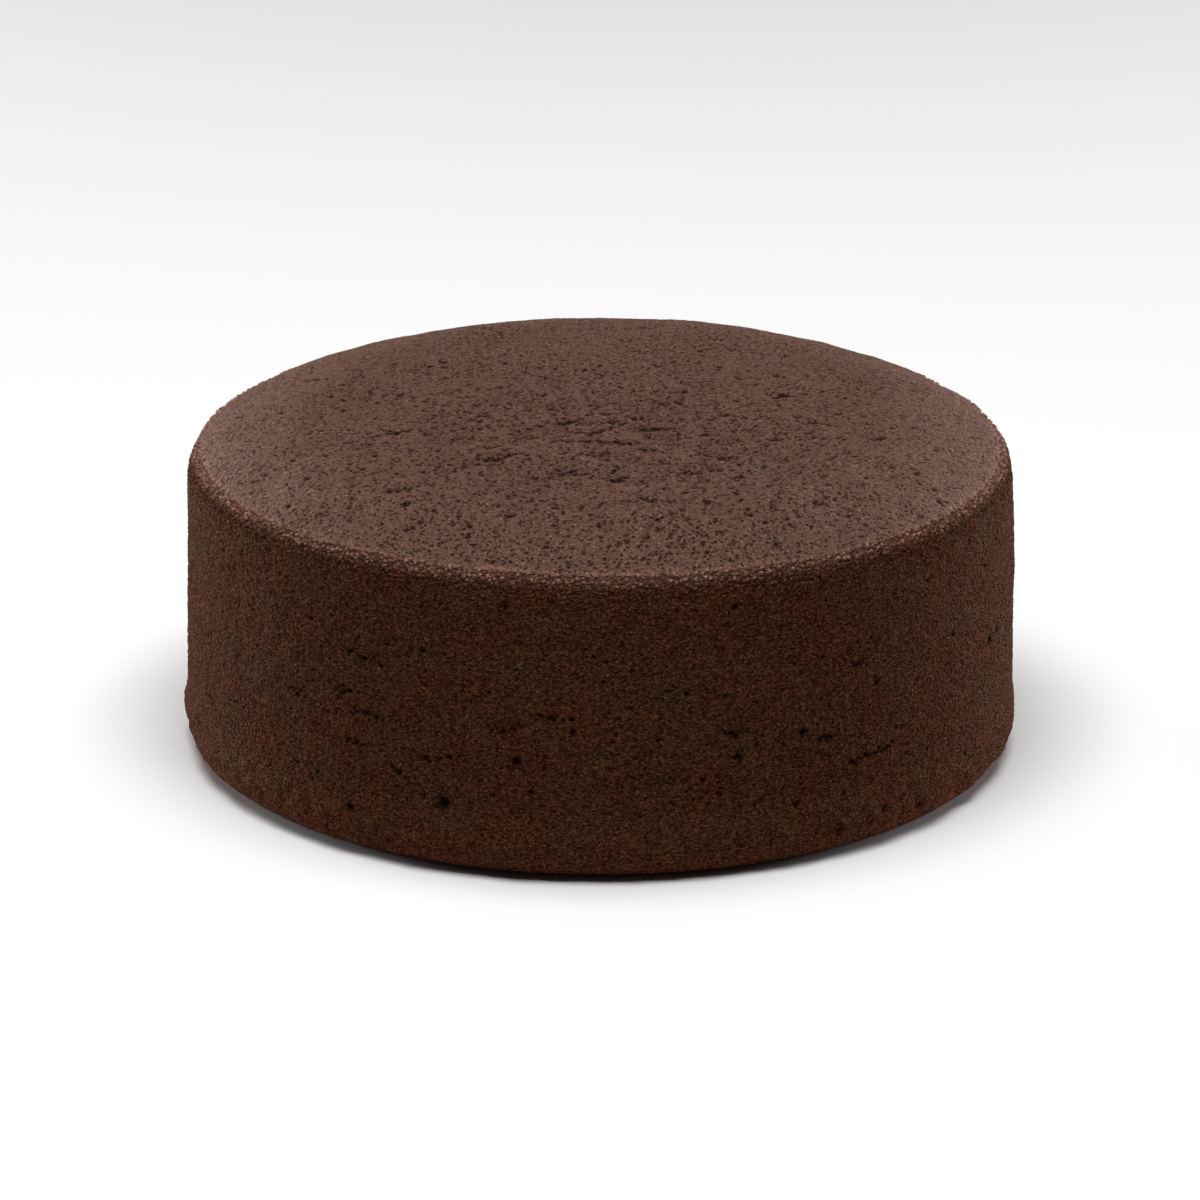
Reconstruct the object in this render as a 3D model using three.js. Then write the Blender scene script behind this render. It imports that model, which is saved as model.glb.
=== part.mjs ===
// A plain round chocolate mud cake: one uncut, unfrosted solid as it comes out of its tin.
// Millimetres, +Z up. The origin is the centre of the flat base and the photographed face is -Y.
import * as THREE from 'three';

// Driving dimensions.
const HEIGHT = 95.5; // at the middle of the top
const WALL_RADIUS = 115; // at the top of the wall
const WALL_FLARE = 1.7; // how much wider the wall is at its foot
const BASE_EDGE_WIDTH = 9.5; // the rounded bottom edge is a quarter of an ellipse
const BASE_EDGE_HEIGHT = 10;
const LIP_PROUD = 0.8; // the thin crust that swells just above the bottom edge
const LIP_TOP = 20;

// The top edge. Each tilt is how far the surface has turned from level, in degrees.
const BAND_RADIUS = 12; // the rim band curves gently inwards above the wall
const BAND_TILT = 50;
const CREST_RADIUS = 3; // the crest turns sharply from the band to the shoulder
const CREST_TILT = 30;
const SHOULDER_WIDTH = 35; // the ring inside the crest, which rises to the level middle
const SHOULDER_POWER = 2;

// Mesh density.
const SEGMENTS = 132;
const BASE_RINGS = 3;
const BASE_EDGE_STEPS = 4;
const LIP_STEPS = 3;
const WALL_STEPS = 12;
const BAND_STEPS = 3;
const CREST_STEPS = 2;
const SHOULDER_STEPS = 6;
const TOP_RINGS = 7;

// Uneven surface: waves of two lengths, over the wall and, a little stronger, over the top.
const LONG_WAVE = { length: 31, height: 0.35 };
const SHORT_WAVE = { length: 13, height: 0.3 };
const TOP_ROUGHER = 1.5;
const LIP_WAVE = { length: 9, height: 0.5 };
const FLAT_BELOW = 0.5; // nothing moves under this height, so that the cake stands level
const FULL_RELIEF_AT = 6;

const QUARTER_TURN = Math.PI / 2;
const { degToRad, lerp, smoothstep } = THREE.MathUtils;

const bandTilt = degToRad(BAND_TILT);
const crestTilt = degToRad(CREST_TILT);
const shoulderDrop = (SHOULDER_WIDTH * Math.tan(crestTilt)) / SHOULDER_POWER;
const crestHeight = HEIGHT - shoulderDrop;
const bandTop = crestHeight - CREST_RADIUS * (Math.cos(crestTilt) - Math.cos(bandTilt));
const wallTop = bandTop - BAND_RADIUS * Math.cos(bandTilt);
const bandTopRadius = WALL_RADIUS - BAND_RADIUS * (1 - Math.sin(bandTilt));
const crestRadius = bandTopRadius - CREST_RADIUS * (Math.sin(bandTilt) - Math.sin(crestTilt));

function wallRadiusAt(height) {
  return WALL_RADIUS + WALL_FLARE * (1 - height / wallTop);
}

// The half outline from the middle of the base, up the wall, to the middle of the top.
function cakeOutline() {
  const points = [];
  const add = (radius, height) => points.push(new THREE.Vector2(radius, height));

  const lipRadius = wallRadiusAt(BASE_EDGE_HEIGHT) + LIP_PROUD;
  const baseRadius = lipRadius - BASE_EDGE_WIDTH;
  for (let ring = 0; ring < BASE_RINGS; ring += 1) {
    add((baseRadius * ring) / BASE_RINGS, 0);
  }
  for (let step = 0; step <= BASE_EDGE_STEPS; step += 1) {
    const turn = (QUARTER_TURN * step) / BASE_EDGE_STEPS;
    add(baseRadius + BASE_EDGE_WIDTH * Math.sin(turn), BASE_EDGE_HEIGHT * (1 - Math.cos(turn)));
  }
  for (let step = 1; step <= LIP_STEPS; step += 1) {
    const along = step / LIP_STEPS;
    const height = lerp(BASE_EDGE_HEIGHT, LIP_TOP, along);
    add(wallRadiusAt(height) + LIP_PROUD * 0.5 * (1 + Math.cos(Math.PI * along)), height);
  }
  for (let step = 1; step < WALL_STEPS; step += 1) {
    const height = lerp(LIP_TOP, wallTop, step / WALL_STEPS);
    add(wallRadiusAt(height), height);
  }

  for (let step = 0; step <= BAND_STEPS; step += 1) {
    const tilt = lerp(QUARTER_TURN, bandTilt, step / BAND_STEPS);
    add(WALL_RADIUS - BAND_RADIUS * (1 - Math.sin(tilt)), wallTop + BAND_RADIUS * Math.cos(tilt));
  }
  for (let step = 1; step <= CREST_STEPS; step += 1) {
    const tilt = lerp(bandTilt, crestTilt, step / CREST_STEPS);
    add(
      bandTopRadius - CREST_RADIUS * (Math.sin(bandTilt) - Math.sin(tilt)),
      bandTop + CREST_RADIUS * (Math.cos(tilt) - Math.cos(bandTilt)),
    );
  }

  const flatRadius = crestRadius - SHOULDER_WIDTH;
  for (let step = 1; step <= SHOULDER_STEPS; step += 1) {
    const out = 1 - step / SHOULDER_STEPS;
    add(flatRadius + SHOULDER_WIDTH * out, HEIGHT - shoulderDrop * out ** SHOULDER_POWER);
  }
  for (let ring = TOP_RINGS - 1; ring >= 0; ring -= 1) {
    add((flatRadius * ring) / TOP_RINGS, HEIGHT);
  }
  return points;
}

// A fixed pseudo-random number from -1 to 1 for each corner of a whole-number grid.
function cornerValue(x, y, z) {
  let hash = Math.imul(x, 73856093) ^ Math.imul(y, 19349663) ^ Math.imul(z, 83492791);
  hash = Math.imul(hash ^ (hash >>> 13), 1274126177);
  hash ^= hash >>> 16;
  return (hash & 0xffff) / 0x7fff - 1;
}

// The corner values blended smoothly in between: one wave of relief, from -1 to 1.
function wave(point, length) {
  const cell = point.clone().divideScalar(length);
  const corner = cell.clone().floor();
  const [blendX, blendY, blendZ] = cell.sub(corner).toArray().map((t) => t * t * (3 - 2 * t));
  let sum = 0;
  for (const dx of [0, 1]) {
    for (const dy of [0, 1]) {
      for (const dz of [0, 1]) {
        const share = (dx ? blendX : 1 - blendX) * (dy ? blendY : 1 - blendY) * (dz ? blendZ : 1 - blendZ);
        sum += share * cornerValue(corner.x + dx, corner.y + dy, corner.z + dz);
      }
    }
  }
  return sum;
}

// How far the real crust lies outside the even outline, or inside it where negative.
function reliefAt(point) {
  const settled = smoothstep(point.z, FLAT_BELOW, FULL_RELIEF_AT);
  const onTop = smoothstep(point.z, wallTop, crestHeight);
  const onLip = 1 - smoothstep(point.z, FULL_RELIEF_AT, LIP_TOP);

  const waves = LONG_WAVE.height * wave(point, LONG_WAVE.length)
    + SHORT_WAVE.height * wave(point, SHORT_WAVE.length);
  const lipWave = LIP_WAVE.height * wave(point, LIP_WAVE.length);
  return settled * (waves * lerp(1, TOP_ROUGHER, onTop) + lipWave * onLip);
}

function cakeGeometry() {
  const geometry = new THREE.LatheGeometry(cakeOutline(), SEGMENTS);
  geometry.rotateX(QUARTER_TURN);
  const position = geometry.getAttribute('position');
  const normal = geometry.getAttribute('normal');
  const point = new THREE.Vector3();
  const outward = new THREE.Vector3();
  for (let index = 0; index < position.count; index += 1) {
    point.fromBufferAttribute(position, index);
    outward.fromBufferAttribute(normal, index);
    point.addScaledVector(outward, reliefAt(point));
    position.setXYZ(index, point.x, point.y, point.z);
  }
  geometry.computeVertexNormals();
  return geometry;
}

const crumb = new THREE.MeshStandardMaterial({ color: '#4a2f26', roughness: 0.85, metalness: 0 });

const cake = new THREE.Mesh(cakeGeometry(), crumb);
cake.name = 'cake';

const mudCake = new THREE.Group();
mudCake.name = 'mud_cake';
mudCake.add(cake);

export default mudCake;
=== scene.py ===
import math

import bpy
import numpy as np
from mathutils import Matrix, Vector
from mathutils.kdtree import KDTree


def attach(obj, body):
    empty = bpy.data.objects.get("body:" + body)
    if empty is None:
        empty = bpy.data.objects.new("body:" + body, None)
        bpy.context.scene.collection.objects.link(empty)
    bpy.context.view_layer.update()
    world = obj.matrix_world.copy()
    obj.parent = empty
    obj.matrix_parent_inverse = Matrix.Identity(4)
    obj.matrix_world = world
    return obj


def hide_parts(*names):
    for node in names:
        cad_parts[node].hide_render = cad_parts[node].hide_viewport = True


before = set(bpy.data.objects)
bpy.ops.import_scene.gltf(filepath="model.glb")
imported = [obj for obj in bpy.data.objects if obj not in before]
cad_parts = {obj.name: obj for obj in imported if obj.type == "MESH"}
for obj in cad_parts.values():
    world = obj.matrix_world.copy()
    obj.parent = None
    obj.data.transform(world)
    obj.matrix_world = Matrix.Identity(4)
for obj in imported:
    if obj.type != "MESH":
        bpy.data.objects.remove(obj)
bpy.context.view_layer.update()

MM = 0.001

# The even outline, as in the solid.
HEIGHT = 95.5 * MM
WALL_RADIUS = 115 * MM
WALL_FLARE = 1.7 * MM
BASE_EDGE_WIDTH = 9.5 * MM
BASE_EDGE_HEIGHT = 10 * MM
LIP_PROUD = 0.8 * MM
LIP_TOP = 20 * MM
BAND_RADIUS = 12 * MM
BAND_TILT = math.radians(50)
CREST_RADIUS = 3 * MM
CREST_TILT = math.radians(30)
SHOULDER_WIDTH = 35 * MM
SHOULDER_POWER = 2

SHOULDER_DROP = SHOULDER_WIDTH * math.tan(CREST_TILT) / SHOULDER_POWER
CREST_HEIGHT = HEIGHT - SHOULDER_DROP
BAND_TOP = CREST_HEIGHT - CREST_RADIUS * (math.cos(CREST_TILT) - math.cos(BAND_TILT))
WALL_TOP = BAND_TOP - BAND_RADIUS * math.cos(BAND_TILT)
BAND_TOP_RADIUS = WALL_RADIUS - BAND_RADIUS * (1 - math.sin(BAND_TILT))
RIM_RADIUS = BAND_TOP_RADIUS - CREST_RADIUS * (math.sin(BAND_TILT) - math.sin(CREST_TILT))

# The slow waves of the solid: length and height.
LONG_WAVE = (31 * MM, 0.35 * MM)
SHORT_WAVE = (13 * MM, 0.3 * MM)
LIP_WAVE = (9 * MM, 0.5 * MM)
TOP_ROUGHER = 1.5
FLAT_BELOW = 0.5 * MM
FULL_RELIEF_AT = 6 * MM

# Finer relief than the solid has room for: waves, and packed round grains, which are largest in
# the band below the crest.
CRUMB_WAVES = ((5 * MM, 0.10 * MM), (2.3 * MM, 0.10 * MM))
LIP_CRUMB_WAVE = (3 * MM, 0.55 * MM)
GRAIN_SPACING = 1.3 * MM
WALL_GRAIN_HEIGHT = 0.25 * MM
TOP_GRAIN_HEIGHT = 0.08 * MM
EDGE_GRAIN_HEIGHT = 0.85 * MM
EDGE_GRAIN_REACH = 9 * MM

# How much painted shade the gaps between the grains hold, how far down from the crest the grains
# carry a painted highlight on top, and the least of that highlight anywhere there.
WALL_GAP_SHADE = 0.25
EDGE_GAP_SHADE = 0.6
CREST_HIGHLIGHT_REACH = 4 * MM
CREST_HIGHLIGHT_LEAST = 0.16

# The crinkled skin in the middle of the top, a little in front of the centre. It fades out between
# the two radii, and in patches. The wrinkles are longer from left to right. Their bottoms get a
# painted shade.
WRINKLE_SPACING = 2.6 * MM
WRINKLE_STRETCH = (0.55, 1, 1)
WRINKLE_DEPTH = 0.5 * MM
WRINKLE_SHADE = 0.3
WRINKLED_IN_FRONT = 30 * MM
WRINKLED_RADII = (30 * MM, 75 * MM)
WRINKLE_PATCH = 7 * MM
WRINKLE_PATCH_EDGE = 3 * MM

# A turn by about 35 degrees, so that a wave's grid doesn't line up with the cake's own axes.
TURN_ABOUT_Z = np.array(((0.82, -0.57, 0), (0.57, 0.82, 0), (0, 0, 1)))

# Mesh density. The top is a square grid bent into a disc, so its rim has four times TOP_CELLS.
TOP_CELLS = 400
COLUMNS = 4 * TOP_CELLS
BASE_EDGE_ROWS = 14
LIP_ROWS = 12
WALL_ROWS = 124
BAND_ROWS = 20
CREST_ROWS = 5

# Pits and cracks that can be told apart in the photograph, in millimetres. In the wall they lie
# at an angle from the front and a height, in the top to the right of the middle and behind it.
WALL_PITS = (
    (-42, 64, 1.0), (-35, 13.5, 1.7), (-21, 20, 2.2), (-11, 34, 1.6), (-3.6, 46.5, 1.1), (-3.5, 43, 1.1),
    (-42, 10, 1.3), (-51.5, 9, 1.2), (-24, 62, 0.9), (11.5, 53, 0.9), (-23.5, 32, 1.1), (-12.5, 77, 1.0),
    (-9, 25.5, 1.0), (-57, 10, 1.1), (18, 76, 1.2), (28, 38, 1.5), (18.5, 34, 1.2), (41, 11, 1.7),
    (48, 8, 1.5), (44, 12, 1.0), (27, 18, 1.2), (40, 47, 1.1), (33.5, 8, 1.5), (-49, 9.5, 1.0),
)
TOP_PITS = (
    (-72, -3, 1.2), (-63, -32, 1.3), (-51, -37, 1.0), (-61, -20, 0.9), (-52, -77, 1.5), (58, -73, 1.7),
    (58, -20, 1.0), (0.5, -40, 1.2), (10.5, -44, 1.2), (-5.5, -65, 1.1), (-5, -83, 1.1), (46, -79, 1.3),
    (28, -2, 1.0), (-20, -19, 0.9), (-31, -73, 0.9), (19, -87, 1.0), (-24, -87, 1.1), (-67, -62, 0.9),
    (-54, -69, 1.1), (-35, -66, 0.9), (44, -52, 1.0), (17, -69, 1.0), (-2, -12, 1.3), (73, 25, 1.1),
    (-73, 20, 1.0), (-13, 49, 0.9), (20, 43, 0.9),
)
WALL_CRACKS = (
    ((-37, 58.5), (-29, 56)), ((-47, 41), (-42, 44.5)), ((-38.5, 46), (-33.5, 47)),
    ((-35, 41), (-29, 40.5)), ((-37, 33), (-31, 32)), ((-30, 28), (-25, 25.5)),
    ((-25.5, 31.5), (-18, 34)), ((-15, 42.5), (-10, 43.5)), ((-9.5, 46.5), (-4, 47)),
    ((6.5, 40.5), (8, 39.5)), ((-30, 9.5), (-25, 10)), ((-3.5, 9), (0.5, 8)),
    ((31.5, 24), (44.5, 30)), ((15.5, 42), (21, 40)), ((28.5, 36.5), (33.5, 35)),
    ((10.5, 29.5), (11.5, 28.5)), ((13, 28.5), (14.5, 28)), ((35, 55), (38, 54)),
    ((17, 34.5), (19.5, 33)), ((28, 7.5), (35, 8)), ((54, 8.5), (62, 8.5)),
)
TOP_CRACKS = (
    ((-13, -29), (20, -31)), ((-34, -44.5), (-22, -41)), ((-31, -44), (-25, -43.5)),
    ((26, -41), (36, -42)), ((29, -41), (34, -41.5)), ((-60, -21), (-52, -20)),
    ((-13, -13), (-5, -10)), ((0, -13), (5, -11)), ((6, -9), (17, -10.5)),
    ((21, -56), (27, -55)), ((9.5, -77), (15, -78)), ((23, -78), (31, -79)),
    ((-19, -79), (-14, -79)), ((-48, -32), (-41, -32)), ((46, -26), (51, -25.5)),
    ((56, -13), (63, -13)), ((-4, -21), (4, -19)), ((8, -17), (14, -19)),
    ((-36, -9), (-30, -8)), ((26, -22), (31, -23)), ((-20, -58), (-14, -60)),
    ((-49, 37), (-44, 37)), ((-6, -40), (0, -42)), ((2, -62), (7, -61)),
    ((36, -60), (40, -62)), ((10, -36), (16, -38)), ((-22, -27), (-17, -25)),
    ((13, -49), (18, -48)),
)

# Holes that a seeded rule scatters: small ones everywhere, which thin out between two distances
# from a point in front of the middle of the top, in millimetres, and cracks and larger pits on the
# sides that the photograph doesn't show, between two angles from the front.
TOP_HOLES = 2600
WALL_HOLES = 5000
PITTED_IN_FRONT = 35
PITTED_RADII = (45, 100)
EXTRA_TOP_CRACKS = 34
HIDDEN_CRACKS = 26
HIDDEN_PITS = 26
HIDDEN_FROM, HIDDEN_TO = 65, 295

# The crumb's pattern: the sizes of its cells and patches, how far the cells wander, how strongly
# its marks show, and its colours. The marks are painted shade in the pores and hollows, painted
# glints, and a painted highlight on the crest's grains.
PATCH_SIZE = 13 * MM
CROWD_SIZE = 22 * MM
CREASE_CELL = 1.1 * MM
COARSE_PORE_CELL = 2.4 * MM
FINE_PORE_CELL = 1.25 * MM
FINE_GRAIN = 0.55 * MM
GLOSS_PATCH = 2.5 * MM
STRAY_SIZE = 1.4 * MM
CRUMB_STRAY = 0.9 * MM
# How strongly each painted mark shows: shade in pores, glints, the crest's highlight and shade in
# hollows.
PORE_SHADE_STRENGTH = 0.75
GLINT_STRENGTH = 0.6
CREST_HIGHLIGHT_STRENGTH = 0.8
HOLLOW_SHADE_STRENGTH = 0.9
# The colours of the painted shade in pores and in hollows, of the painted glints and of the painted
# highlight on the crest's grains.
PORE_SHADE = (0.024, 0.0065, 0.0028, 1)
HOLLOW_SHADE_COLOUR = (0.010, 0.0028, 0.0011, 1)
PAINTED_GLINT = (0.26, 0.16, 0.11, 1)
PAINTED_CREST_HIGHLIGHT = (0.40, 0.220, 0.168, 1)
LIP_REDNESS = (1.45, 1.25, 1.25, 1)
LIP_COLOUR_FROM, LIP_COLOUR_TO = 12 * MM, 4 * MM

# Each crumb has reddish and olive patches, a painted shade in the creases between its crumbs, a
# cell size for its painted glints, and a brightness at the crest, which is painted light set to how
# the light falls there. The top's colours are the crust's own with a painted sheen in them, which
# makes them paler; the side is darker and redder than the top and nearly matt, and squash makes its
# pores wider than high.
TOP_CRUST_AND_SHEEN = {
    "reddish": (0.117, 0.0588, 0.0416, 1),
    "olive": (0.113, 0.0598, 0.0428, 1),
    "gloss": 0.04,
    "roughness": (0.50, 0.66),
    "squash": 1.0,
    "crease_shade": 0.74,
    "bump_depth": 0.70 * MM,
    "pore_share": 0.58,
    "glint_cell": 2.1 * MM,
    # Painted light: the top's colour is a little lighter towards the crest.
    "rim_light": 1.02,
}
SIDE_CRUMB = {
    "reddish": (0.101, 0.0323, 0.0153, 1),
    "olive": (0.087, 0.0381, 0.0182, 1),
    "gloss": 0.007,
    "roughness": (0.60, 0.80),
    "squash": 1.7,
    "crease_shade": 0.52,
    "bump_depth": 1.15 * MM,
    "pore_share": 0.80,
    "glint_cell": 1.2 * MM,
    "rim_light": 1.0,
}

# The floor and the soft lights: place, width, height and power, all aimed at the cake's middle.
FLOOR_SIZE = 6.0
FLOOR_COLOUR = (0.74, 0.74, 0.74, 1)
LIGHTS = {
    "overhead": ((-0.03, -0.25, 1.5), 1.2, 1.0, 33),
    "left": ((-1.38, 0.93, 0.11), 0.9, 0.2, 44),
    "right": ((1.38, 0.93, 0.11), 0.9, 0.2, 39),
    "rear": ((0, 2.2, 0.9), 3.0, 1.2, 2.0),
}

# The white surroundings: how bright they look, and how bright they are as a light.
SURROUNDINGS_SEEN = 1.0
SURROUNDINGS_LIGHT = 0.03

# The camera of the photograph, from the middle of the base.
CAMERA_DISTANCE = 1.725
CAMERA_ELEVATION = math.radians(20.9)
CAMERA_PITCH = math.radians(19.69)
CAMERA_ROLL = math.radians(0.17)
CAMERA_LENS = 182.4


# ---------------------------------------------------------------- relief

def smoothstep(value, low, high):
    t = np.clip((value - low) / (high - low), 0, 1)
    return t * t * (3 - 2 * t)


def corner_value(x, y, z):
    """A fixed pseudo-random number from -1 to 1 for each corner of a whole-number grid."""
    word = 0xFFFFFFFF
    mixed = (x * 73856093 & word) ^ (y * 19349663 & word) ^ (z * 83492791 & word)
    mixed = (mixed ^ (mixed >> 13)) * 1274126177 & word
    mixed ^= mixed >> 16
    return (mixed & 0xFFFF) / 0x7FFF - 1


def wave(points, length):
    """The corner values blended smoothly in between: one wave of relief, from -1 to 1."""
    cell = points / length
    corner = np.floor(cell).astype(np.int64)
    t = cell - corner
    blend = t * t * (3 - 2 * t)
    total = np.zeros(len(points))
    for step in np.ndindex(2, 2, 2):
        share = np.prod(np.where(step, blend, 1 - blend), axis=1)
        total += share * corner_value(*(corner + step).T)
    return total


def grain(points, spacing):
    """Packed round grains: 1 on the middle of each, falling to 0 in the creases between them."""
    cell = points / spacing
    corner = np.floor(cell).astype(np.int64)
    nearest = np.full(len(points), 9.0)
    second = np.full(len(points), 9.0)
    for step in np.ndindex(3, 3, 3):
        here = corner + step - 1
        jitter = np.stack([corner_value(*(here + shift).T) for shift in (0, 57, 113)], axis=1)
        centre = here + 0.5 + 0.42 * jitter
        distance = np.linalg.norm(cell - centre, axis=1)
        second = np.minimum(second, np.maximum(nearest, distance))
        nearest = np.minimum(nearest, distance)
    return smoothstep(second - nearest, 0, 0.55)


def wrinkles(points, on_top):
    """The crinkled skin of the top: 1 along the bottom of a wrinkle, 0 where there are none."""
    from_middle = np.hypot(points[:, 0], points[:, 1] + WRINKLED_IN_FRONT)
    where = on_top * (1 - smoothstep(from_middle, *WRINKLED_RADII))
    patches = wave(points @ TURN_ABOUT_Z, WRINKLE_PATCH) + 0.5 * wave(points, WRINKLE_PATCH_EDGE)
    where *= smoothstep(patches, -0.5, 0.5)
    return where * (1 - grain(points * WRINKLE_STRETCH, WRINKLE_SPACING)) ** 2


def relief(points):
    """How far the crumb lies outside the even outline, without its pits, the painted highlight on the
    tops of the crest's grains, and the painted shade in the gaps between the grains and along the
    bottoms of the wrinkles."""
    radius = np.hypot(points[:, 0], points[:, 1])
    height = points[:, 2]
    settled = smoothstep(height, FLAT_BELOW, FULL_RELIEF_AT)
    on_top = smoothstep(height, WALL_TOP, CREST_HEIGHT)
    on_lip = 1 - smoothstep(height, FULL_RELIEF_AT, LIP_TOP)
    at_edge = smoothstep(height, CREST_HEIGHT - EDGE_GRAIN_REACH, CREST_HEIGHT - 1 * MM)
    at_edge *= smoothstep(radius, RIM_RADIUS - 2 * MM, RIM_RADIUS + 1 * MM)
    at_crest = smoothstep(height, CREST_HEIGHT - CREST_HIGHLIGHT_REACH, CREST_HEIGHT - 1 * MM) * at_edge
    below_crest = at_edge * smoothstep(radius, RIM_RADIUS, RIM_RADIUS + 3 * MM)

    waves = sum(high * wave(points, long) for long, high in (LONG_WAVE, SHORT_WAVE))
    total = waves * (1 + (TOP_ROUGHER - 1) * on_top)
    total += sum(high * wave(points, long) for long, high in CRUMB_WAVES)
    total += on_lip * sum(high * wave(points, long) for long, high in (LIP_WAVE, LIP_CRUMB_WAVE))

    grain_height = WALL_GRAIN_HEIGHT + (TOP_GRAIN_HEIGHT - WALL_GRAIN_HEIGHT) * on_top
    grain_height += (EDGE_GRAIN_HEIGHT - grain_height) * at_edge
    grains = grain(points, GRAIN_SPACING)
    total += grain_height * (grains - 0.5)
    # Painted highlight: the tops of the grains near the crest are paler.
    crest_highlight = at_crest * np.maximum(smoothstep(grains, 0.35, 0.9), CREST_HIGHLIGHT_LEAST)
    # Painted shade: the gaps between the grains are darker, most of all in the band below the crest.
    gap_shade_tone = WALL_GAP_SHADE * (1 - on_top) + EDGE_GAP_SHADE * below_crest
    gap_shade = gap_shade_tone * (1 - smoothstep(grains, 0.05, 0.5))

    creases = wrinkles(points, on_top)
    total -= WRINKLE_DEPTH * creases
    # Painted shade along the bottoms of the wrinkles.
    gap_shade = np.maximum(gap_shade, WRINKLE_SHADE * smoothstep(creases, 0.2, 0.9))
    return settled * total, crest_highlight, gap_shade


# ---------------------------------------------------------------- pits and cracks

def wall_radius_at(height):
    return WALL_RADIUS + WALL_FLARE * (1 - height / WALL_TOP)


def top_height_at(radius):
    out = np.clip(1 - (RIM_RADIUS - radius) / SHOULDER_WIDTH, 0, 1)
    return HEIGHT - SHOULDER_DROP * out**SHOULDER_POWER


def wall_point(angle, height):
    turn, radius = math.radians(angle), wall_radius_at(height * MM)
    return Vector((math.sin(turn) * radius, -math.cos(turn) * radius, height * MM))


def top_point(right, behind):
    return Vector((right * MM, behind * MM, top_height_at(math.hypot(right, behind) * MM)))


def pit(place, size, deep=0.6, hole_shade=0.8, flat=1.0):
    """A hole: its middle, its half width and depth, how much painted shade it holds, and how much wider
    than high.
    """
    return place, size, deep * size, hole_shade, flat


# The least and the largest half width of the holes along a crack, and how much painted shade they hold.
CRACK_HOLES = {
    wall_point: (0.40 * MM, 0.90 * MM, 0.95),
    top_point: (0.50 * MM, 1.30 * MM, 1.0),
}

# How far apart the holes are, the share of them that is there, and in millimetres how far the row
# sways and each hole strays from it.
CRACK_STEP = 0.8 * MM
CRACK_SHARE = 0.75
CRACK_SWAY = 1.6
CRACK_STRAY = 0.8


def crack_holes(place, start, end, rng):
    """A crack is a wandering row of small holes that run into each other here and there."""
    first, last = place(*start), place(*end)
    small, large, hole_shade = CRACK_HOLES[place]
    count = max(3, round((last - first).length / CRACK_STEP))
    wander = rng.uniform(-1, 1, 2)
    holes = []
    for index in range(count + 1):
        along = index / count
        drift = math.sin(along * math.pi * 2 + 3 * wander[0]) * CRACK_SWAY * wander[1]
        spot = [a + (b - a) * along for a, b in zip(start, end)]
        spot[1] += drift + rng.uniform(-CRACK_STRAY, CRACK_STRAY)
        size = rng.uniform(small, large) * (0.5 + 0.5 * math.sin(math.pi * along))
        if rng.uniform() < CRACK_SHARE:
            holes.append(pit(place(*spot), size, deep=0.9, hole_shade=hole_shade))
    return holes


def scattered_holes(rng):
    """The small holes all over the crumb, closer together in the middle of the top."""
    holes = []
    while len(holes) < TOP_HOLES:
        x, y = rng.uniform(-WALL_RADIUS / MM, WALL_RADIUS / MM, 2)
        out = math.hypot(x, y) * MM / WALL_RADIUS
        thinned = smoothstep(math.hypot(x, y + PITTED_IN_FRONT), *PITTED_RADII)
        if out < 0.95 and rng.uniform() < 1 - 0.85 * thinned:
            size = (0.45 + 0.6 * rng.uniform() ** 3) * MM
            holes.append(pit(top_point(x, y), size, hole_shade=rng.uniform(0.5, 1)))
    for _ in range(WALL_HOLES):
        angle, height = rng.uniform(-180, 180), rng.uniform(3, 80)
        size = (0.40 + 0.50 * rng.uniform() ** 4) * MM
        holes.append(pit(wall_point(angle, height), size, hole_shade=rng.uniform(0.4, 1.0), flat=1.6))
    return holes


def random_cracks(rng):
    """Short cracks and larger pits for the sides that the photograph doesn't show, and a few more
    cracks on the top."""
    holes = []
    for _ in range(HIDDEN_CRACKS):
        angle, height = rng.uniform(HIDDEN_FROM, HIDDEN_TO), rng.uniform(8, 70)
        end = (angle + rng.uniform(2, 7), height + rng.uniform(-2, 2))
        holes += crack_holes(wall_point, (angle, height), end, rng)
    for _ in range(EXTRA_TOP_CRACKS):
        x, y = rng.normal(0, 36), rng.normal(-25, 32)
        end = (x + rng.uniform(2, 6), y + rng.uniform(-1, 1))
        holes += crack_holes(top_point, (x, y), end, rng)
    for _ in range(HIDDEN_PITS):
        angle, height = rng.uniform(HIDDEN_FROM, HIDDEN_TO), rng.uniform(7, 78)
        holes.append(pit(wall_point(angle, height), rng.uniform(0.9, 1.6) * MM, deep=0.9, hole_shade=1.0))
    return holes


def all_holes():
    rng = np.random.default_rng(11)
    holes = []
    placed = ((wall_point, WALL_PITS, WALL_CRACKS), (top_point, TOP_PITS, TOP_CRACKS))
    for place, pits, cracks in placed:
        for first, second, radius in pits:
            holes.append(pit(place(first, second), 0.8 * radius * MM, deep=1.3, hole_shade=1.0))
        for start, end in cracks:
            holes += crack_holes(place, start, end, rng)
    return holes + random_cracks(rng) + scattered_holes(rng)


def hollows(points):
    """The depth of the pits and cracks at each point, and the painted shade they put there."""
    tree = KDTree(len(points))
    for index, point in enumerate(points):
        tree.insert(point, index)
    tree.balance()
    depth = np.zeros(len(points))
    shade = np.zeros(len(points))
    for centre, size, deep, hole_shade, flat in all_holes():
        for place, index, _ in tree.find_range(centre, 2.2 * size):
            offset = place - centre
            away = (offset.x**2 + offset.y**2 + (flat * offset.z) ** 2) / size**2
            share = math.exp(-away)
            depth[index] = max(depth[index], deep * share)
            # Painted shade: each hole darkens the colour round its middle.
            shade[index] = max(shade[index], hole_shade * share)
    return depth, smoothstep(shade, 0.15, 0.7)


# ---------------------------------------------------------------- the shape

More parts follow.
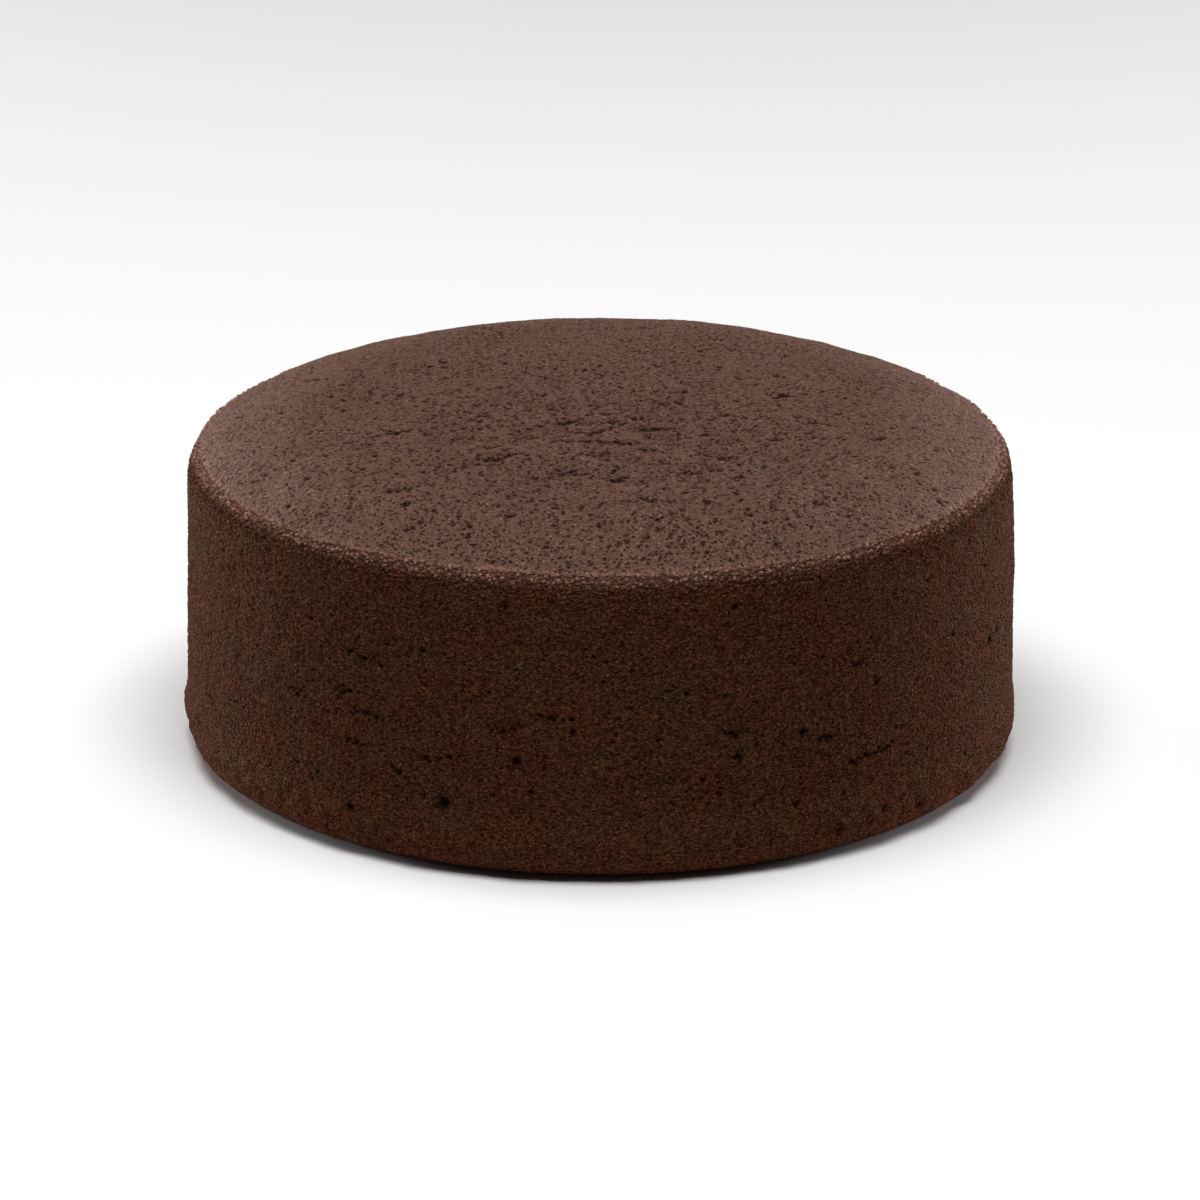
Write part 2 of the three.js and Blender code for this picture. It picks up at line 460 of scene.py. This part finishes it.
def side_outline():
    """Radius, height and outward tilt of each row, from the edge of the base up to the crest."""
    quarter = math.pi / 2
    lip_radius = wall_radius_at(BASE_EDGE_HEIGHT) + LIP_PROUD
    base_radius = lip_radius - BASE_EDGE_WIDTH
    rows = []
    for row in range(BASE_EDGE_ROWS + 1):
        turn = quarter * row / BASE_EDGE_ROWS
        radius = base_radius + BASE_EDGE_WIDTH * math.sin(turn)
        tilt = -math.atan2(BASE_EDGE_WIDTH * math.cos(turn), BASE_EDGE_HEIGHT * math.sin(turn))
        rows.append((radius, BASE_EDGE_HEIGHT * (1 - math.cos(turn)), tilt))
    for row in range(1, LIP_ROWS + 1):
        along = row / LIP_ROWS
        height = BASE_EDGE_HEIGHT + (LIP_TOP - BASE_EDGE_HEIGHT) * along
        proud = LIP_PROUD * 0.5 * (1 + math.cos(math.pi * along))
        rows.append((wall_radius_at(height) + proud, height, 0.0))
    for row in range(1, WALL_ROWS):
        height = LIP_TOP + (WALL_TOP - LIP_TOP) * row / WALL_ROWS
        rows.append((wall_radius_at(height), height, 0.0))
    for row in range(BAND_ROWS + 1):
        tilt = (quarter - BAND_TILT) * row / BAND_ROWS
        inward = BAND_RADIUS * (1 - math.cos(tilt))
        rows.append((WALL_RADIUS - inward, WALL_TOP + BAND_RADIUS * math.sin(tilt), tilt))
    for row in range(1, CREST_ROWS + 1):
        turn = BAND_TILT + (CREST_TILT - BAND_TILT) * row / CREST_ROWS
        radius = BAND_TOP_RADIUS - CREST_RADIUS * (math.sin(BAND_TILT) - math.sin(turn))
        height = BAND_TOP + CREST_RADIUS * (math.cos(turn) - math.cos(BAND_TILT))
        rows.append((radius, height, quarter - turn))
    return np.array(rows)


def side_grid():
    """Points and outward directions of the side, row by row."""
    radius, height, tilt = side_outline().T[:, :, None]
    angle = np.arange(COLUMNS) * (2 * math.pi / COLUMNS)
    across, along = np.cos(angle), np.sin(angle)
    points = np.stack([radius * across, radius * along, height + 0 * across], axis=-1)
    outward = np.stack([np.cos(tilt) * across, np.cos(tilt) * along, np.sin(tilt) + 0 * across], axis=-1)
    return points.reshape(-1, 3), outward.reshape(-1, 3)


def top_grid():
    """Points and outward directions of a square grid bent into the disc of the top."""
    steps = np.linspace(-1, 1, TOP_CELLS + 1)
    a, b = (part.ravel() for part in np.meshgrid(steps, steps, indexing="ij"))
    wide = np.abs(a) >= np.abs(b)
    reach = np.where(wide, a, b)
    safe = np.where(reach == 0, 1, reach)
    angle = np.where(wide, math.pi / 4 * b / safe, math.pi / 2 - math.pi / 4 * a / safe)
    x, y = reach * RIM_RADIUS * np.cos(angle), reach * RIM_RADIUS * np.sin(angle)
    radius = np.maximum(np.hypot(x, y), 1e-9)
    out = np.clip(1 - (RIM_RADIUS - radius) / SHOULDER_WIDTH, 0, 1)
    slope = math.tan(CREST_TILT) * out ** (SHOULDER_POWER - 1)
    outward = np.stack([slope * x / radius, slope * y / radius, np.ones(len(x))], axis=1)
    points = np.stack([x, y, top_height_at(radius)], axis=1)
    return points, outward / np.linalg.norm(outward, axis=1)[:, None]


def grid_faces(numbers):
    """Four-cornered faces between the points of a grid, and each corner's place in a unit square."""
    corners = ((0, 0), (1, 0), (1, 1), (0, 1))
    rows, columns = (size - 1 for size in numbers.shape)
    steps = np.meshgrid(np.arange(rows), np.arange(columns), indexing="ij")
    row, column = (part.ravel() for part in steps)
    faces = np.stack([numbers[row + i, column + j] for i, j in corners], axis=1)
    places = [np.stack([(row + i) / rows, (column + j) / columns], axis=1) for i, j in corners]
    return faces, np.stack(places, axis=1)


def cake_surface():
    """All points of the cake and their outward directions, and the faces of each piece of it."""
    side_points, side_outward = side_grid()
    last_row = len(side_points) - COLUMNS
    top_points, top_outward = top_grid()

    # The top's rim is the side's last row, so each point of it is there only once.
    line = np.arange(TOP_CELLS + 1)
    row, column = (part.ravel() for part in np.meshgrid(line, line, indexing="ij"))
    on_rim = (row % TOP_CELLS == 0) | (column % TOP_CELLS == 0)
    turn = np.arctan2(top_points[:, 1], top_points[:, 0]) / (2 * math.pi)
    numbers = np.empty(len(top_points), dtype=np.int64)
    numbers[on_rim] = last_row + np.rint(turn[on_rim] * COLUMNS).astype(np.int64) % COLUMNS
    numbers[~on_rim] = len(side_points) + np.arange(np.count_nonzero(~on_rim))
    points = np.concatenate([side_points, top_points[~on_rim]])
    outward = np.concatenate([side_outward, top_outward[~on_rim]])

    top = numbers.reshape(TOP_CELLS + 1, TOP_CELLS + 1)
    side = np.arange(len(side_points)).reshape(-1, COLUMNS)
    side = np.column_stack([side, side[:, 0]]).T
    half, quarter = TOP_CELLS // 2, COLUMNS // 4
    pieces = {"cake_top_left": top[: half + 1], "cake_top_right": top[half:]}
    for index, name in enumerate(("right_back", "left_back", "left_front", "right_front")):
        pieces["cake_side_" + name] = side[index * quarter : (index + 1) * quarter + 1]
    return points, outward, {name: grid_faces(grid) for name, grid in pieces.items()}


def point_normals(points, faces):
    """The average direction of the faces round each point, so that shading runs on past a seam."""
    corners = points[faces]
    across = np.cross(corners[:, 2] - corners[:, 0], corners[:, 3] - corners[:, 1])
    normals = np.zeros_like(points)
    for corner in range(4):
        np.add.at(normals, faces[:, corner], across)
    return normals / np.maximum(np.linalg.norm(normals, axis=1), 1e-12)[:, None]


def add_piece(name, mesh, material):
    mesh.materials.append(material)
    piece = bpy.data.objects.new(name, mesh)
    bpy.context.scene.collection.objects.link(piece)
    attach(piece, "root")
    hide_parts("cake")


def crumb_mesh(name, points, normals, tones, faces, places):
    used, local = np.unique(faces, return_inverse=True)
    mesh = bpy.data.meshes.new(name)
    mesh.from_pydata(points[used].tolist(), [], local.reshape(-1, 4).tolist())
    for tone, values in tones.items():
        mesh.attributes.new(tone, "FLOAT", "POINT").data.foreach_set("value", values[used])
    mesh.uv_layers.new(name="OFBake").uv.foreach_set("vector", places.ravel())
    mesh.shade_smooth()
    mesh.normals_split_custom_set_from_vertices(normals[used].tolist())
    return mesh


def base_mesh(rim):
    """The flat underside, from the first row of the side to one point in the middle."""
    mesh = bpy.data.meshes.new("cake_base")
    count = len(rim)
    faces = [((index + 1) % count, index, count) for index in range(count)]
    mesh.from_pydata([*rim.tolist(), (0, 0, 0)], [], faces)
    return mesh


def build_cake(materials):
    points, outward, pieces = cake_surface()
    depth, shade = hollows(points)
    raised, crest_highlight, gap_shade = relief(points)
    points = points + outward * (raised - depth)[:, None]
    # The vertex tones carry painted shade in the pits, cracks, gaps and wrinkles, and the painted
    # highlight on the crest's grains.
    tones = {"hollow_shade": np.maximum(shade, gap_shade), "crest_highlight": crest_highlight}
    normals = point_normals(points, np.concatenate([faces for faces, _ in pieces.values()]))
    for name, (faces, places) in pieces.items():
        mesh = crumb_mesh(name, points, normals, tones, faces, places)
        add_piece(name, mesh, materials[name.split("_")[1]])
    add_piece("cake_base", base_mesh(points[:COLUMNS]), materials["side"])


# ---------------------------------------------------------------- material

def crumb_material(name, look):
    """Baked crumb: crumbs with painted shade in the creases between them, in the pores and in the
    hollows, painted glints, and a painted highlight on the tops of the crest's grains.
    """
    material = bpy.data.materials.new(name)
    material.use_nodes = True
    nodes, links = material.node_tree.nodes, material.node_tree.links
    shader = nodes["Principled BSDF"]

    def fill(node, sockets, values):
        for socket, value in zip(sockets, values):
            if isinstance(value, bpy.types.NodeSocket):
                links.new(value, node.inputs[socket])
            else:
                node.inputs[socket].default_value = value

    def maths(kind, *values):
        node = nodes.new("ShaderNodeMath")
        node.operation = kind
        fill(node, range(len(values)), values)
        return node.outputs[0]

    def vector_maths(kind, *values, output="Vector"):
        node = nodes.new("ShaderNodeVectorMath")
        node.operation = kind
        fill(node, range(len(values)), values)
        return node.outputs[output]

    def span(value, low, high, start=0.0, end=1.0):
        node = nodes.new("ShaderNodeMapRange")
        fill(node, ("Value", "From Min", "From Max", "To Min", "To Max"), (value, low, high, start, end))
        return node.outputs["Result"]

    def mix(kind, amount, first, second):
        node = nodes.new("ShaderNodeMix")
        node.data_type, node.blend_type = "RGBA", kind
        fill(node, (0, 6, 7), (amount, first, second))
        return node.outputs[2]

    def noise(size, detail=3.0, output="Fac"):
        node = nodes.new("ShaderNodeTexNoise")
        fill(node, ("Vector", "Scale", "Detail"), (place, 1 / size, detail))
        return node.outputs[output]

    def vertex_tone(name):
        node = nodes.new("ShaderNodeAttribute")
        node.attribute_name = name
        return node.outputs["Fac"]

    def cells(size):
        node = nodes.new("ShaderNodeTexVoronoi")
        fill(node, ("Vector", "Scale"), (strayed, 1 / size))
        return node.outputs["Distance"], node.outputs["Color"]

    def spots(size, share, core, edge):
        """Spots in a share of the cells, closer together in some places than in others."""
        distance, draw = cells(size)
        picked = maths("SUBTRACT", draw, maths("MULTIPLY", crowd, 0.7))
        return maths("MULTIPLY", span(distance, edge, core), span(picked, share - 0.32, share - 0.38))

    place = nodes.new("ShaderNodeTexCoord").outputs["Object"]
    stray = vector_maths("MULTIPLY_ADD", noise(STRAY_SIZE, 1.0, "Color"), (CRUMB_STRAY,) * 3, place)
    strayed = vector_maths("MULTIPLY", stray, (1, 1, look["squash"]))
    crowd = noise(CROWD_SIZE, 2.0)
    fine = noise(FINE_GRAIN, 2.0)
    crease = span(cells(CREASE_CELL)[0], 0.35, 0.75)
    coarse_pores = spots(COARSE_PORE_CELL, look["pore_share"] * 0.7, 0.15, 0.25)
    pores = maths("MAXIMUM", coarse_pores, spots(FINE_PORE_CELL, look["pore_share"], 0.22, 0.38))
    # Painted glints: small pale spots in a share of the cells.
    glints = spots(look["glint_cell"], 0.55, 0.08, 0.26)

    colour = mix("MIX", span(noise(PATCH_SIZE, 2.5), 0.36, 0.62), look["olive"], look["reddish"])
    # Painted shade: the colour is darker in the creases between the crumbs.
    crease_shade = span(crease, 0, 1, 1.05, look["crease_shade"])
    tone = maths("MULTIPLY", span(fine, 0.3, 0.7, 0.65, 1.35), crease_shade)
    reach = vector_maths("LENGTH", vector_maths("MULTIPLY", place, (1, 1, 0)), output="Value")
    # Painted light: the colour is scaled towards the crest to match how the light falls there.
    rim_light = span(reach, RIM_RADIUS - SHOULDER_WIDTH, RIM_RADIUS, 1, look["rim_light"])
    colour = mix("MULTIPLY", 1.0, colour, maths("MULTIPLY", tone, rim_light))
    above = vector_maths("DOT_PRODUCT", place, (0, 0, 1), output="Value")
    colour = mix("MULTIPLY", span(above, LIP_COLOUR_FROM, LIP_COLOUR_TO), colour, LIP_REDNESS)

    hollow_shade = vertex_tone("hollow_shade")
    marks = (
        # Painted shade in the pores.
        (pores, PORE_SHADE_STRENGTH, PORE_SHADE),
        # Painted glints.
        (glints, GLINT_STRENGTH, PAINTED_GLINT),
        # Painted highlight on the tops of the crest's grains.
        (vertex_tone("crest_highlight"), CREST_HIGHLIGHT_STRENGTH, PAINTED_CREST_HIGHLIGHT),
        # Painted shade in the pits, cracks, gaps between the grains and wrinkles.
        (hollow_shade, HOLLOW_SHADE_STRENGTH, HOLLOW_SHADE_COLOUR),
    )
    for mark, strength, mark_colour in marks:
        colour = mix("MIX", maths("MULTIPLY", mark, strength), colour, mark_colour)
    links.new(colour, shader.inputs["Base Color"])

    rough = span(noise(GLOSS_PATCH, 2.0), 0.3, 0.7, *look["roughness"])
    links.new(maths("MAXIMUM", rough, maths("MAXIMUM", hollow_shade, pores)), shader.inputs["Roughness"])
    shader.inputs["Specular IOR Level"].default_value = look["gloss"]

    height = maths("SUBTRACT", maths("MULTIPLY", fine, 0.5), maths("MULTIPLY", crease, 0.5))
    height = maths("SUBTRACT", height, pores)
    bump = nodes.new("ShaderNodeBump")
    fill(bump, ("Distance", "Height"), (look["bump_depth"], height))
    links.new(bump.outputs["Normal"], shader.inputs["Normal"])
    return material


# ---------------------------------------------------------------- stage

def make_floor():
    mesh = bpy.data.meshes.new("floor")
    signs = ((-1, -1), (1, -1), (1, 1), (-1, 1))
    corners = [(x * FLOOR_SIZE / 2, y * FLOOR_SIZE / 2, -0.1 * MM) for x, y in signs]
    mesh.from_pydata(corners, [], [(0, 1, 2, 3)])
    material = bpy.data.materials.new("floor_white")
    material.use_nodes = True
    shader = material.node_tree.nodes["Principled BSDF"]
    shader.inputs["Base Color"].default_value = FLOOR_COLOUR
    shader.inputs["Roughness"].default_value = 0.9
    shader.inputs["Specular IOR Level"].default_value = 0.0
    mesh.materials.append(material)
    floor = bpy.data.objects.new("floor", mesh)
    bpy.context.scene.collection.objects.link(floor)


def area_light(name, place, aim, width, height, power):
    light = bpy.data.lights.new(name, "AREA")
    light.shape = "RECTANGLE"
    light.size, light.size_y = width, height
    light.energy = power
    lamp = bpy.data.objects.new(name, light)
    lamp.location = place
    lamp.rotation_euler = (Vector(aim) - Vector(place)).to_track_quat("-Z", "Y").to_euler()
    bpy.context.scene.collection.objects.link(lamp)


def light_stage():
    world = bpy.data.worlds.new("studio")
    world.use_nodes = True
    nodes, links = world.node_tree.nodes, world.node_tree.links
    background = nodes["Background"]
    seen = nodes.new("ShaderNodeLightPath")
    strength = nodes.new("ShaderNodeMapRange")
    strength.inputs["To Min"].default_value = SURROUNDINGS_LIGHT
    strength.inputs["To Max"].default_value = SURROUNDINGS_SEEN
    links.new(seen.outputs["Is Camera Ray"], strength.inputs["Value"])
    links.new(strength.outputs["Result"], background.inputs["Strength"])
    background.inputs["Color"].default_value = (1, 1, 1, 1)
    bpy.context.scene.world = world
    middle = (0, 0, HEIGHT / 2)
    for name, (place, width, height, power) in LIGHTS.items():
        area_light(name, place, middle, width, height, power)
    bpy.context.scene.view_settings.view_transform = "Standard"


def make_camera():
    data = bpy.data.cameras.new("camera")
    data.lens = CAMERA_LENS
    data.sensor_width = 36
    camera = bpy.data.objects.new("camera", data)
    back, up = math.cos(CAMERA_ELEVATION), math.sin(CAMERA_ELEVATION)
    camera.location = (0, -CAMERA_DISTANCE * back, CAMERA_DISTANCE * up)
    tilt = Matrix.Rotation(math.pi / 2 - CAMERA_PITCH, 3, "X") @ Matrix.Rotation(CAMERA_ROLL, 3, "Z")
    camera.rotation_euler = tilt.to_euler()
    bpy.context.scene.collection.objects.link(camera)
    bpy.context.scene.camera = camera


build_cake({
    # The top's colours hold a painted sheen.
    "top": crumb_material("top_crust_and_sheen", TOP_CRUST_AND_SHEEN),
    "side": crumb_material("side_crumb", SIDE_CRUMB),
})
make_floor()
light_stage()
make_camera()
